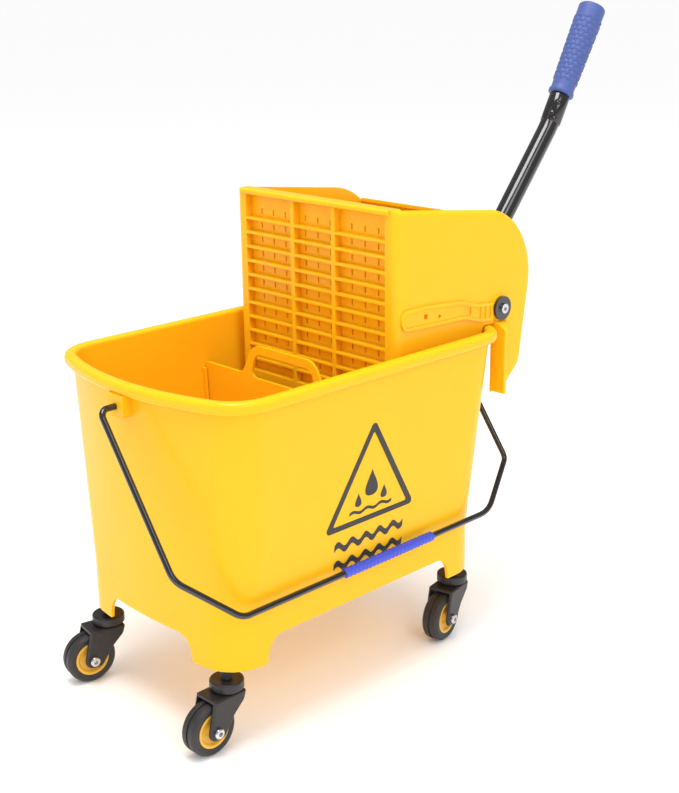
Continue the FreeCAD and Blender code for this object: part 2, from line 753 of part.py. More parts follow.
def make_shaft_bolts():
    bolts = []
    for side in (-1, 1):
        face = side * (Size.cheek_outer + 5.2)
        head = cylinder("5", "2.6", Size.shaft_x, face if side > 0 else face - 2.6, Size.shaft_z, "y")
        key = hex_head("2.4", "1.6", Size.shaft_x, face + side * 1, Size.shaft_z, side)
        start = face if side < 0 else face - 15
        shank = cylinder("3", "15", Size.shaft_x, start, Size.shaft_z, "y")
        bolts.append(cut(fuse(head, shank), key))
    return keep(group(*bolts), "shaft_bolts")


def make_crank(side, label):
    body = new_body(label)
    edge = "90" if side < 0 else "-90"
    arm = sketch_on(body, "XZ_Plane", edge)
    tip = Size.crank + 8
    draw(arm, rounded([(-11, -11), (11, -11), (8, tip), (-8, tip)], [10, 10, 7, 7]))
    pad(body, arm, "8", backwards=side > 0)
    pin = sketch_on(body, "XZ_Plane", "97" if side < 0 else "-97")
    draw_circle(pin, "0", "crank", "crank_pin_radius")
    pad(body, pin, "8", backwards=side > 0)
    bore = sketch_on(body, "XZ_Plane")
    draw_circle(bore, "0", "0", "shaft_radius")
    pocket(body, bore, "300", both_ways=True)
    place(body, Size.shaft_x, 0, Size.shaft_z, (0, 1, 0), Size.crank_angle)
    bind(body, Placement__Base__x="shaft_x", Placement__Base__z="shaft_z")
    return bind(body, Placement__Rotation__Angle="crank_angle")


def lean_back(body, angle):
    """Puts a body on the cross shaft with its own Z along the lower lever."""
    place(body, Size.shaft_x, Size.lever_y, Size.shaft_z, (0, 1, 0), 90 - getattr(Size, angle))
    bind(body, Placement__Base__x="shaft_x", Placement__Base__y="lever_y", Placement__Base__z="shaft_z")
    return bind(body, Placement__Rotation__Angle=f"90 - {angle}")


SOCKET_LENGTH = 52
TUBE_START = 14
BOLT_HEIGHTS = (26, 42)


def make_bracket():
    body = new_body("lever_bracket")
    hub = sketch_on(body, "XZ_Plane")
    draw_circle(hub, "0", "0", "14")
    pad(body, hub, "28", both_ways=True)
    socket = sketch_on(body, "XY_Plane")
    draw_circle(socket, "0", "0", "lever_radius + 3")
    pad(body, socket, str(SOCKET_LENGTH))
    bore = sketch_on(body, "XY_Plane", str(TUBE_START))
    draw_circle(bore, "0", "0", "lever_radius")
    pocket(body, bore, str(SOCKET_LENGTH), backwards=True)
    across = sketch_on(body, "XZ_Plane")
    draw_circle(across, "0", "0", "shaft_radius")
    for height in BOLT_HEIGHTS:
        draw_circle(across, "0", str(height), "3")
    pocket(body, across, "60", both_ways=True)
    return lean_back(body, "lever_lower")


def make_tube():
    body = new_body("lever_tube")
    ring = sketch_on(body, "XY_Plane", str(TUBE_START))
    draw_circle(ring, "0", "0", "lever_radius")
    draw_circle(ring, "0", "0", "lever_radius - lever_wall")
    path = sketch_on(body, "XZ_Plane")
    lean = math.radians(Size.lever_upper - Size.lever_lower)
    reach = Size.grip_start + Size.grip_length - 20
    top = (-reach * math.sin(lean), Size.lever_bend + reach * math.cos(lean))
    bend = rounded([(0, TUBE_START), (0, Size.lever_bend), top], [0, 150, 0])
    draw(path, bend[:3])
    tube = body.newObject("PartDesign::AdditivePipe", "pipe")
    tube.Profile = ring
    tube.Spine = path
    body.Tip = tube
    doc.recompute()
    holes = sketch_on(body, "XZ_Plane")
    for height in BOLT_HEIGHTS:
        draw_circle(holes, "0", str(height), "3")
    pocket(body, holes, "60", both_ways=True)
    return lean_back(body, "lever_lower")


def make_lever_bolts():
    """Two cross bolts with a domed head on the near side and a nut on the far side."""
    bolts = []
    for height in BOLT_HEIGHTS:
        shank = cylinder("3", "2 * (lever_radius + 6)", 0, -Size.lever_radius - 6, height, "y")
        head = cylinder("5.5", "3", 0, -Size.lever_radius - 6, height, "y")
        nut = hex_head("5.8", "3.5", 0, Size.lever_radius + 3, height)
        bolts.append(fuse(shank, head, nut))
    both = group(*bolts)
    lean_back(both, "lever_lower")
    return keep(both, "lever_bolts")


def turned(body, edges):
    """Revolves a half profile, drawn as radius and height, about the body's Z axis."""
    profile = sketch_on(body, "XZ_Plane")
    draw(profile, edges)
    made = body.newObject("PartDesign::Revolution", "turned")
    made.Profile = profile
    made.ReferenceAxis = (profile, ["V_Axis"])
    made.Angle = 360
    return made


def make_lever_grip():
    body = new_body("lever_grip")
    foot, head, length = Size.grip_foot_radius, Size.grip_head_radius, Size.grip_length
    tube_end = length - 20
    corners = [
        (Size.lever_radius, 0),
        (foot + 1.2, 0),
        (foot + 1.2, 5),
        (foot, 7),
        (head, length - 14),
        (head, length),
        (0, length),
        (0, tube_end),
        (Size.lever_radius, tube_end),
    ]
    turned(body, rounded(corners, [0, 2, 1.2, 1.2, 10, 4, 0, 0, 0]))
    place(body, 0, 0, 0, (0, 1, 0), 90 - Size.lever_upper)
    along = "(lever_bend * cos(lever_lower) + grip_start * cos(lever_upper))"
    up = "(lever_bend * sin(lever_lower) + grip_start * sin(lever_upper))"
    bind(body, Placement__Base__x=f"shaft_x + {along}", Placement__Base__y="lever_y")
    bind(body, Placement__Base__z=f"shaft_z + {up}")
    return bind(body, Placement__Rotation__Angle="90 - lever_upper")


# ---------------------------------------------------------------- bail


def hang(body):
    """Puts a body drawn hanging straight down on the bail's pivot axis."""
    place(body, 0, 0, Size.pivot_z, (-1, 0, 0), Size.bail_tilt)
    return bind(body, Placement__Base__z="pivot_z", Placement__Rotation__Angle="bail_tilt")


def make_bail_wire():
    body = new_body("bail_wire")
    end = PIVOT_PAD_X - STUB_IN_PAD
    start = -end
    ring = sketch_on(body, "YZ_Plane", str(start))
    draw_circle(ring, "0", "0", "wire_radius")
    path = sketch_on(body, "XZ_Plane")
    points = [
        (start, 0),
        (-Size.bail_front, 0),
        (-Size.bail_front, -Size.bail_shoulder),
        (-Size.bail_bar_front, -Size.bail_reach),
        (Size.bail_bar_rear, -Size.bail_reach),
        (Size.bail_rear, -Size.bail_shoulder - 6),
        (Size.bail_rear, 0),
        (end, 0),
    ]
    wire = rounded(points, [0, 8, 22, 18, 40, 12, 8, 0])
    draw(path, wire[:-1])
    pipe = body.newObject("PartDesign::AdditivePipe", "pipe")
    pipe.Profile = ring
    pipe.Spine = path
    body.Tip = pipe
    return hang(body)


def make_bail_grip():
    body = new_body("bail_grip")
    sleeve = sketch_on(body, "YZ_Plane", "-36")
    draw_circle(sleeve, "0", "-bail_reach", "bail_grip_radius")
    draw_circle(sleeve, "0", "-bail_reach", "wire_radius")
    pad(body, sleeve, "bail_grip_length")

    def outer_end(edge):
        box = edge.BoundBox
        return box.XLength < 0.01 and box.YLength > 2 * Size.wire_radius + 1

    soften(body, "1.2", outer_end)
    return hang(body)


# ---------------------------------------------------------------- casters

CASTERS = [
    ("front_near", -1, -1, 0.0),
    ("front_far", -1, 1, -11.5),
    ("rear_near", 1, -1, 11.5),
    ("rear_far", 1, 1, -5.7),
]


def stand(thing, x_sign, y_sign, turn, behind=None):
    """Puts a thing on a caster's stem line, or on its axle, turned about the stem."""
    place(thing, 0, 0, 0, (0, 0, 1), turn)
    across = f"{y_sign} * stem_y"
    along = f"{x_sign} * stem_x"
    if behind:
        bind(thing, Placement__Base__x=f"{along} - {behind} * cos({turn})")
        bind(thing, Placement__Base__y=f"{across} - {behind} * sin({turn})")
        return bind(thing, Placement__Base__z="wheel_radius")
    return bind(thing, Placement__Base__x=along, Placement__Base__y=across)


def make_stem(name, x_sign, y_sign):
    body = new_body(f"stem_{name}")
    radius, top = Size.stem_radius, Size.leg_bottom + 22
    plate_low = Size.fork_top - 2.8
    corners = [(0, plate_low - 3.3), (8, plate_low - 3.3), (8, plate_low - 0.3), (radius, plate_low - 0.3)]
    corners += [(radius, top), (0, top)]
    turned(body, rounded(corners, [0, 2, 0, 0, 1.5, 0]))
    return stand(body, x_sign, y_sign, 0)


def make_cap(name, x_sign, y_sign):
    body = new_body(f"cap_{name}")
    radius, low, high = Size.cap_radius, Size.cap_low, Size.cap_high
    turned(body, rounded(oblong(Size.stem_radius, low, radius, high), [0, 1, 1.6, 0]))
    return stand(body, x_sign, y_sign, 0)


def make_race(name, x_sign, y_sign, turn):
    body = new_body(f"race_{name}")
    inner = Size.stem_radius + 1
    low, high = Size.fork_top, Size.cap_low - 0.4
    turned(body, rounded(oblong(inner, low, 12.5, high), [0] * 4))
    return stand(body, x_sign, y_sign, turn)


def make_fork(name, x_sign, y_sign, turn):
    body = new_body(f"fork_{name}")
    top, axle_x, axle_z = Size.fork_top, -Size.trail, Size.wheel_radius
    side = sketch_on(body, "XZ_Plane")
    corners = [
        (-24.5, top),
        (axle_x - 8.5, axle_z + 3),
        (axle_x - 8.5, axle_z - 8.5),
        (axle_x + 8.5, axle_z - 8.5),
        (-7.5, 27),
        (-3, 34),
        (9.5, 46),
        (12.5, top),
    ]
    draw(side, rounded(corners, [1, 8, 8.2, 8.2, 6, 8, 6, 2]))
    pad(body, side, "2 * fork_half", both_ways=True)

    def long_top(edge):
        box = edge.BoundBox
        return box.XLength > 20 and abs(box.ZMin - top) < 0.01 and box.YLength < 0.01

    soften(body, "2.6", long_top)
    between = sketch_on(body, "XZ_Plane")
    draw(between, rounded(oblong(-60, -5, 60, top - 2.8), [0] * 4))
    pocket(body, between, "2 * (fork_half - fork_leg)", both_ways=True)
    hole = sketch_on(body, "XY_Plane", "fork_top")
    draw_circle(hole, "0", "0", "stem_radius + running_gap")
    pocket(body, hole, "10")
    axle = sketch_on(body, "XZ_Plane")
    draw_circle(axle, "-trail", "wheel_radius", "axle_radius")
    pocket(body, axle, "60", both_ways=True)
    return stand(body, x_sign, y_sign, turn)


def on_axle(made, label, x_sign, y_sign, turn):
    """Turns a part drawn about Z onto the axle of its caster."""
    stand(made, x_sign, y_sign, turn, "trail")
    upright = Rotation(Vector(0, 0, 1), turn) * Rotation(Vector(1, 0, 0), 90)
    made.Placement.Rotation = upright
    return made


def make_tyre(name, x_sign, y_sign, turn):
    body = new_body(f"tyre_{name}")
    outer, inner, half = Size.wheel_radius, Size.hub_radius, Size.tyre_half
    corners = [
        (inner, -half + 1),
        (outer - 3, -half),
        (outer, -half + 3),
        (outer, -1.2),
        (outer - 1.5, -1.2),
        (outer - 1.5, 1.2),
        (outer, 1.2),
        (outer, half - 3),
        (outer - 3, half),
        (inner, half - 1),
    ]
    turned(body, rounded(corners, [0.8, 2, 2, 0.5, 0, 0, 0.5, 2, 2, 0.8]))
    return on_axle(body, name, x_sign, y_sign, turn)


def make_hub(name, x_sign, y_sign, turn):
    body = new_body(f"hub_{name}")
    outer, bore = Size.hub_radius, Size.axle_radius + Size.running_gap
    half, boss = Size.tyre_half - 1, Size.fork_half - Size.fork_leg - 0.5
    corners = [
        (bore, -boss),
        (6, -boss),
        (7, -5.5),
        (13, -5.5),
        (14.5, -half),
        (outer, -half),
        (outer, half),
        (14.5, half),
        (13, 5.5),
        (7, 5.5),
        (6, boss),
        (bore, boss),
    ]
    turned(body, rounded(corners, [0, 0.6, 1.5, 1.5, 0.6, 0, 0, 0.6, 1.5, 1.5, 0.6, 0]))
    return on_axle(body, name, x_sign, y_sign, turn)


def make_axle_bolt(name, x_sign, y_sign, turn):
    body = new_body(f"axle_bolt_{name}")
    half, radius = Size.fork_half, Size.axle_radius
    corners = [(0, -half - 3.2), (5.4, -half - 3.2), (5.4, -half), (radius, -half), (radius, half)]
    corners += [(5, half), (5, half + 3.6), (0, half + 3.6)]
    turned(body, rounded(corners, [0, 0.8, 0, 0, 0, 0, 1.6, 0]))
    key = sketch_on(body, "XY_Plane", str(half + 3.6))
    spots = [(2.4 * math.cos(math.radians(a)), 2.4 * math.sin(math.radians(a))) for a in range(0, 360, 60)]
    draw(key, rounded(spots, [0] * 6))
    pocket(body, key, "2.4")
    return on_axle(body, name, x_sign, y_sign, turn)


make_bucket()
make_divider()
make_wringer()
make_bushes()
make_press_plate()
make_shaft()
make_washers()
make_shaft_bolts()
make_crank(-1, "crank_near")
make_crank(1, "crank_far")
make_bracket()
make_tube()
make_lever_bolts()
make_lever_grip()
make_bail_wire()
make_bail_grip()
for corner, x_sign, y_sign, turn in CASTERS:
    make_stem(corner, x_sign, y_sign)
    make_cap(corner, x_sign, y_sign)
    make_race(corner, x_sign, y_sign, turn)
    make_fork(corner, x_sign, y_sign, turn)
    make_tyre(corner, x_sign, y_sign, turn)
    make_hub(corner, x_sign, y_sign, turn)
    make_axle_bolt(corner, x_sign, y_sign, turn)

doc.recompute()
faults = [f"{o.Name} ({o.Label})" for o in doc.Objects if "Invalid" in o.State or "Error" in o.State]
faults += [p.Label for p in PARTS if p.Shape.isNull() or not p.Shape.isValid()]
if faults:
    raise SystemExit("not built: " + ", ".join(faults))
os.makedirs("parts", exist_ok=True)
for part in PARTS:
    part.Shape.exportStep(f"parts/{part.Label}.step")
    box = part.Shape.BoundBox
    print(
        f"{part.Label:18} {len(part.Shape.Solids)} {part.Shape.Volume:10.0f}  x {box.XMin:7.1f} {box.XMax:7.1f}  "
        f"y {box.YMin:7.1f} {box.YMax:7.1f}  z {box.ZMin:6.1f} {box.ZMax:6.1f}"
    )
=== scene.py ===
import json
import math

import bpy
from mathutils import Matrix, Vector


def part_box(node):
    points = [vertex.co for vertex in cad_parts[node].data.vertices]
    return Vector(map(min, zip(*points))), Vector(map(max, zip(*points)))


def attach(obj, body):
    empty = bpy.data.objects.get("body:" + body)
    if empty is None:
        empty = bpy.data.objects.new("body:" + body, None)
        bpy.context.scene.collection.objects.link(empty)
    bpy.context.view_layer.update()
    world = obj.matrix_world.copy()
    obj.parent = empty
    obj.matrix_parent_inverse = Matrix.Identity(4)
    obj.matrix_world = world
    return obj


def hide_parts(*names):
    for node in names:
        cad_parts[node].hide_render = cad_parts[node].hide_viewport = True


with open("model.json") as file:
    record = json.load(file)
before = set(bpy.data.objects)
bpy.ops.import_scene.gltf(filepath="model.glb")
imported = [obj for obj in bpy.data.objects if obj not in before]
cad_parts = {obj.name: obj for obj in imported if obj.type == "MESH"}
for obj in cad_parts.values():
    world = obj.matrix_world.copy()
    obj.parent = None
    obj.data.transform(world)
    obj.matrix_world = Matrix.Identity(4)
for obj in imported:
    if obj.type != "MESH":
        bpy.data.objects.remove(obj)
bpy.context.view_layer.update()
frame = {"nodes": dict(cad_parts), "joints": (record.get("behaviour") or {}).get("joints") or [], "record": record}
nodes = frame["nodes"]
joints = {joint["name"]: joint for joint in frame["joints"]}
CORNERS = [name[len("tyre_") :] for name in nodes if name.startswith("tyre_")]
MM = 0.001

# ---------------------------------------------------------------- materials

YELLOW = (0.95, 0.505, 0.009)
YELLOW_DEEP = (0.95, 0.49, 0.008)
HUB_YELLOW = (0.82, 0.47, 0.05)
BLACK_PAINT = (0.012, 0.011, 0.012)
BLACK_PLASTIC = (0.016, 0.015, 0.016)
RUBBER = (0.022, 0.021, 0.022)
GRIP_BLUE = (0.065, 0.105, 0.34)
BAIL_BLUE = (0.055, 0.085, 0.62)
BRIGHT = (0.72, 0.72, 0.74)
CLOUDS_PER_METRE = 9.0
WORN_EDGE = 0.6 * MM
PLASTIC_GRAIN = 700
PLASTIC_DEPTH = 0.02 * MM


def material(name, colour, other, roughness, grain, depth, **sockets):
    """A Principled material: two colours mixed by cloudy noise, and roughness and relief from finer noise.

    roughness is (low, high), grain is how many grains fit in a metre, depth is the relief in metres.
    Any other socket is named in words joined by underscores and set to one value all over."""
    made = bpy.data.materials.new(name)
    made.use_nodes = True
    tree = made.node_tree
    shader = tree.nodes["Principled BSDF"]
    place = tree.nodes.new("ShaderNodeTexCoord").outputs["Object"]

    def noise(scale, detail=3.0):
        node = tree.nodes.new("ShaderNodeTexNoise")
        node.inputs["Scale"].default_value = scale
        node.inputs["Detail"].default_value = detail
        tree.links.new(place, node.inputs["Vector"])
        return node.outputs["Fac"]

    tint = tree.nodes.new("ShaderNodeMix")
    tint.data_type = "RGBA"
    tint.inputs["A"].default_value = (*colour, 1)
    tint.inputs["B"].default_value = (*other, 1)
    tree.links.new(noise(CLOUDS_PER_METRE), tint.inputs["Factor"])
    tree.links.new(tint.outputs["Result"], shader.inputs["Base Color"])

    spread = tree.nodes.new("ShaderNodeMapRange")
    spread.inputs["To Min"].default_value = roughness[0]
    spread.inputs["To Max"].default_value = roughness[1]
    tree.links.new(noise(grain / 6), spread.inputs["Value"])
    tree.links.new(spread.outputs["Result"], shader.inputs["Roughness"])

    soft_edge = tree.nodes.new("ShaderNodeBevel")
    soft_edge.samples = 4
    soft_edge.inputs["Radius"].default_value = WORN_EDGE
    relief = tree.nodes.new("ShaderNodeBump")
    relief.inputs["Strength"].default_value = 1.0
    relief.inputs["Distance"].default_value = depth
    tree.links.new(noise(grain, 2.0), relief.inputs["Height"])
    tree.links.new(soft_edge.outputs["Normal"], relief.inputs["Normal"])
    tree.links.new(relief.outputs["Normal"], shader.inputs["Normal"])
    for words, value in sockets.items():
        shader.inputs[words.replace("_", " ").title().replace("Ior", "IOR")].default_value = value
    return made


def moulded_yellow(name):
    """Glossy coloured plastic that lets a little light in."""
    return material(
        name,
        YELLOW,
        YELLOW_DEEP,
        (0.23, 0.27),
        PLASTIC_GRAIN,
        PLASTIC_DEPTH,
        Subsurface_Weight=0.3,
        Subsurface_Radius=(1.0, 0.85, 0.1),
        Subsurface_Scale=4 * MM,
        Specular_IOR_Level=0.22,
    )


MATERIALS = {
    "bucket": moulded_yellow("bucket_plastic"),
    "wringer": moulded_yellow("wringer_plastic"),
    "divider": moulded_yellow("divider_plastic"),
    "wringer_plate": moulded_yellow("plate_plastic"),
    "bush": material("bush_plastic", BLACK_PLASTIC, (0.03, 0.03, 0.03), (0.4, 0.6), 900, 0.02 * MM),
    "black_steel": material(
        "black_paint", BLACK_PAINT, (0.018, 0.017, 0.019), (0.1, 0.18), 1200, 0.006 * MM, Coat_Weight=0.6
    ),
    "bright_steel": material(
        "zinc_plate", BRIGHT, (0.6, 0.6, 0.63), (0.16, 0.32), 1600, 0.01 * MM, Metallic=1.0
    ),
    "stem_steel": material("black_thread", BLACK_PAINT, (0.03, 0.028, 0.028), (0.22, 0.38), 1500, 0.01 * MM),
    "caster_black": material(
        "caster_plastic", BLACK_PLASTIC, (0.022, 0.02, 0.021), (0.3, 0.42), 1500, 0.025 * MM
    ),
    "tyre_black": material("tyre_rubber", RUBBER, (0.034, 0.032, 0.033), (0.42, 0.62), 1800, 0.04 * MM),
    "hub_yellow": material("hub_plastic", HUB_YELLOW, (0.74, 0.40, 0.04), (0.28, 0.4), 900, 0.02 * MM),
    "blue_grip": material(
        "grip_rubber", GRIP_BLUE, (0.055, 0.09, 0.29), (0.42, 0.56), 1500, 0.03 * MM, Sheen_Weight=0.1
    ),
    "bail_blue": material("bail_sleeve", BAIL_BLUE, (0.045, 0.07, 0.54), (0.34, 0.46), 1200, 0.03 * MM),
    "bail_steel": material(
        "bail_paint", BLACK_PAINT, (0.018, 0.017, 0.019), (0.1, 0.2), 1400, 0.008 * MM, Coat_Weight=0.6
    ),
}


def paint(thing, slot_name):
    thing.data.materials.clear()
    thing.data.materials.append(MATERIALS[slot_name])


for subpart in frame["record"]["subparts"]:
    paint(nodes[subpart["node"]], subpart["material_slot"])


# ---------------------------------------------------------------- mesh helpers

POLE_RADIUS = 0.0001 * MM


def add_mesh(name, points, faces, body, slot_name, smooth=True):
    """A new mesh piece that rides on a CAD body and takes the finish of a material slot."""
    mesh = bpy.data.meshes.new(name)
    mesh.from_pydata([tuple(point) for point in points], [], faces)
    mesh.validate()
    for polygon in mesh.polygons:
        polygon.use_smooth = smooth
    made = bpy.data.objects.new(name, mesh)
    bpy.context.scene.collection.objects.link(made)
    paint(made, slot_name)
    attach(made, body)
    return made


def fine(outline, step):
    """Adds points to a list of (height, radius) so that no stretch is longer than step."""
    made = [outline[0]]
    for (low, narrow), (high, wide) in zip(outline, outline[1:]):
        count = max(1, math.ceil(math.hypot(high - low, wide - narrow) / step))
        for i in range(1, count + 1):
            made.append((low + (high - low) * i / count, narrow + (wide - narrow) * i / count))
    return made


def turned(name, outline, to_frame, around, body, slot_name, relief=None):
    """A closed turned piece. outline is (height, radius) from pole to pole, and relief adds to the radius."""
    points = []
    rings = []
    for height, radius in outline:
        if radius < POLE_RADIUS:
            rings.append([len(points)])
            points.append(to_frame @ Vector((0, 0, height)))
            continue
        rings.append(list(range(len(points), len(points) + around)))
        for i in range(around):
            angle = 2 * math.pi * i / around
            reach = radius + (relief(height, angle) if relief else 0)
            points.append(to_frame @ Vector((reach * math.cos(angle), reach * math.sin(angle), height)))
    faces = []
    for low, high in zip(rings, rings[1:]):
        for i in range(around):
            j = (i + 1) % around
            if len(low) == 1:
                faces.append((low[0], high[j], high[i]))
            elif len(high) == 1:
                faces.append((low[i], low[j], high[0]))
            else:
                faces.append((low[i], low[j], high[j], high[i]))
    return add_mesh(name, points, faces, body, slot_name)


def along(start, direction, side=Vector((0, 1, 0))):
    """The matrix that takes +Z to a direction and the origin to a start."""
    z = direction.normalized()
    x = side.cross(z).normalized()
    y = z.cross(x)
    turn = Matrix((x, y, z)).transposed().to_4x4()
    return Matrix.Translation(start) @ turn


def middle(node):
    low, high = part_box(node)
    return (low + high) / 2


# ---------------------------------------------------------------- lever grip

LOWER_LEAN = math.radians(50.1)
UPPER_LEAN = math.radians(59.8)
LEVER_BEND = 216 * MM
GRIP_START = 34 * MM
GRIP_LENGTH = 103 * MM
GRIP_FOOT = 12.4 * MM
GRIP_HEAD = 14.6 * MM
GRIP_EDGE = 3.5 * MM
GRIP_FLANGE = GRIP_FOOT + 1.2 * MM
TUBE_RADIUS = 10 * MM
COLLAR_START = 3 * MM
# Height and radius in millimetres. The collar's radius is the part that stands proud of the tube.
COLLAR_OUTLINE = [(-1.5, 0), (-1.5, 0.1), (-0.8, 0.9), (29, 1.0), (31, 0.1), (31, 0)]
BUTTON_OUTLINE = [(0, 0), (0, 2.6), (0.7, 2.4), (1.1, 1.6), (1.25, 0)]
COLLAR_PROUD = 1.0 * MM
BUTTON_SINK = 0.3 * MM
# Height up the collar in millimetres, and degrees round it.
BUTTON_PLACES = [(19, -135), (7, -150), (2, -125)]


def lean(angle):
    return Vector((math.cos(angle), 0, math.sin(angle)))


def lever_axis():
    place = Vector(joints["lever_swing"]["pos_m"])
    place.y = middle("lever_tube").y
    return place


def lever_bend():
    return lever_axis() + LEVER_BEND * lean(LOWER_LEAN)


def grip_relief(height, angle):
    """Staggered rows of raised lozenges over the middle of the grip."""
    pitch, columns, rise = 5.4 * MM, 12, 0.9 * MM
    low, high = 14 * MM, GRIP_LENGTH - 16 * MM
    if not low < height < high:
        return 0.0
    row = (height - low) / pitch
    turn = angle * columns / (2 * math.pi) + 0.5 * (int(row) % 2)
    across = abs(turn - math.floor(turn) - 0.5) * 2
    up = abs(row - math.floor(row) - 0.5) * 2
    inside = 1.15 - across - up * 0.75
    return rise * max(0.0, min(1.0, inside * 2.2))


def build_lever_grip():
    """The blue grip with its flange, raised lozenges and round head."""
    outline = [(0, 0), (0, GRIP_FLANGE - 1 * MM), (1 * MM, GRIP_FLANGE), (4 * MM, GRIP_FLANGE)]
    outline.append((6 * MM, GRIP_FOOT + 0.2 * MM))
    outline += fine([(8 * MM, GRIP_FOOT), (GRIP_LENGTH - GRIP_EDGE, GRIP_HEAD)], 0.7 * MM)
    for angle in range(10, 91, 10):
        rise = math.sin(math.radians(angle))
        inward = 1 - math.cos(math.radians(angle))
        outline.append((GRIP_LENGTH - GRIP_EDGE * (1 - rise), GRIP_HEAD - GRIP_EDGE * inward))
    outline.append((GRIP_LENGTH, 0))
    place = along(lever_bend() + GRIP_START * lean(UPPER_LEAN), lean(UPPER_LEAN))
    grip = turned("lever_grip_sleeve", outline, place, 132, "lever", "blue_grip", grip_relief)
    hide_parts("lever_grip")


def build_lever_collar():
    """The moulded black sleeve between the tube's bend and the grip, with its latch buttons."""
    place = along(lever_bend() + COLLAR_START * lean(UPPER_LEAN), lean(UPPER_LEAN))
    outline = [(height * MM, TUBE_RADIUS + proud * MM if proud else 0) for height, proud in COLLAR_OUTLINE]
    turned("lever_collar", outline, place, 64, "lever", "black_steel")
    button = [(height * MM, radius * MM) for height, radius in BUTTON_OUTLINE]
    for index, (height, angle) in enumerate(BUTTON_PLACES):
        spoke = Vector((math.cos(math.radians(angle)), math.sin(math.radians(angle)), 0))
        foot = place @ (Vector((0, 0, height * MM)) + spoke * (TUBE_RADIUS + COLLAR_PROUD - BUTTON_SINK))
        outward = place.to_3x3() @ spoke
        pose = along(foot, outward, Vector((0.1, 0.3, 1)))
        turned(f"collar_button_{index}", button, pose, 32, "lever", "black_steel")


# ---------------------------------------------------------------- bail grip

BAIL_GRIP_RADIUS = 5 * MM
BAIL_RING_PITCH = 5.2 * MM
BAIL_RING_RISE = 0.28 * MM
BAIL_FLUTES = 8
BAIL_FLUTE_RISE = 0.12 * MM


def bail_relief(height, angle):
    """Soft rings and shallow lengthwise flutes."""
    rings = BAIL_RING_RISE * math.sin(2 * math.pi * height / BAIL_RING_PITCH)
    return rings + BAIL_FLUTE_RISE * math.sin(BAIL_FLUTES * angle)


def build_bail_grip():
    """The blue sleeve on the bail's crossbar."""
    low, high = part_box("bail_grip")
    centre = (low + high) / 2
    length = high.x - low.x
    start = Vector((low.x, centre.y, centre.z))
    wide = BAIL_GRIP_RADIUS - BAIL_RING_RISE - BAIL_FLUTE_RISE
    outline = [(0, 0), (0, wide - 1.6 * MM), (0.6 * MM, wide - 0.5 * MM)]
    outline += fine([(1.6 * MM, wide), (length - 1.6 * MM, wide)], 0.65 * MM)
    outline += [(length - 0.6 * MM, wide - 0.5 * MM), (length, wide - 1.6 * MM), (length, 0)]
    place = along(start, Vector((1, 0, 0)), Vector((0, 0, 1)))
    grip = turned("bail_grip_sleeve", outline, place, 64, "bail", "bail_blue", bail_relief)
    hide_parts("bail_grip")


# ---------------------------------------------------------------- caster threads

THREAD_PITCH = 1.5 * MM
THREAD_DEPTH = 0.55 * MM
THREAD_ROOT = 5.02 * MM


def thread(height, angle):
    """How far the thread stands out of its root."""
    turn = height / THREAD_PITCH - angle / (2 * math.pi)
    return THREAD_DEPTH * abs(2 * (turn - math.floor(turn)) - 1)


def build_threads():
    """The screw thread that shows on each stem between its cap and the leg."""
    for corner in CORNERS:
        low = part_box(f"cap_{corner}")[1].z
        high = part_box("bucket_shell")[0].z
        centre = middle(f"stem_{corner}")
        side = fine([(0, THREAD_ROOT), (high - low, THREAD_ROOT)], 0.25 * MM)
        outline = [(0, 0), *side, (high - low, 0)]
        place = Matrix.Translation((centre.x, centre.y, low))
        turned(f"thread_{corner}", outline, place, 48, "bucket", "stem_steel", thread)


# ---------------------------------------------------------------- wet floor sign of plain shapes

SIGN_MIDDLE_X = 5 * MM
SIGN_FOOT = 179 * MM
SIGN_HEIGHT = 101 * MM
SIGN_HALF = 60 * MM
SIGN_BORDER = 5.5 * MM
SIGN_LIFT = 0.02 * MM
SIGN_THICK = 0.25 * MM
OUTSIDE_Y = -0.3
CORNER_STEPS = 8
WAVE_STEPS = 16
DROP_STEPS = 48


def near_wall(x, z):
    """A point on the outside of the bucket's near wall and the normal there, found by looking inwards."""
    shell = nodes["bucket_shell"]
    _, place, normal, _ = shell.ray_cast(Vector((x, OUTSIDE_Y, z)), Vector((0, 1, 0)))
    return place, normal


def sign_piece(name, outline, hole=None):
    """A thin printed shape on the near side wall. Outlines are (x, z) in metres from the sign's foot."""
    rings = [outline] if hole is None else [outline, hole]
    count = len(outline)
    points = []
    for lift in (SIGN_LIFT, SIGN_THICK):
        for ring in rings:
            for x, z in ring:
                place, normal = near_wall(SIGN_MIDDLE_X + x, SIGN_FOOT + z)
                points.append(place + normal * lift)
    total = count * len(rings)
    faces = []
    for i in range(count):
        j = (i + 1) % count
        faces.append((i, j, total + j, total + i))
        if hole is None:
            continue
        faces.append((count + j, count + i, total + count + i, total + count + j))
        faces.append((j, i, count + i, count + j))
        faces.append((total + i, total + j, total + count + j, total + count + i))
    if hole is None:
        faces.append(tuple(range(count - 1, -1, -1)))
        faces.append(tuple(range(total, total + count)))
    add_mesh(name, points, faces, "bucket", "bush", smooth=False)


def rounded_triangle(half, low, high, radius):
    """An upright triangle with round corners, anticlockwise seen from outside."""
    corners = [Vector((-half, low)), Vector((half, low)), Vector((0, high))]
    made = []
    for i, corner in enumerate(corners):
        back = (corners[i - 1] - corner).normalized()
        ahead = (corners[(i + 1) % 3] - corner).normalized()
        spread = back.angle(ahead) / 2
        centre = corner + (back + ahead).normalized() * radius / math.sin(spread)
        first = math.atan2(*(corner + back * radius / math.tan(spread) - centre).yx)
        swing = math.pi - 2 * spread
        for k in range(CORNER_STEPS + 1):
            angle = first + swing * k / CORNER_STEPS
            made.append((centre.x + radius * math.cos(angle), centre.y + radius * math.sin(angle)))
    return made


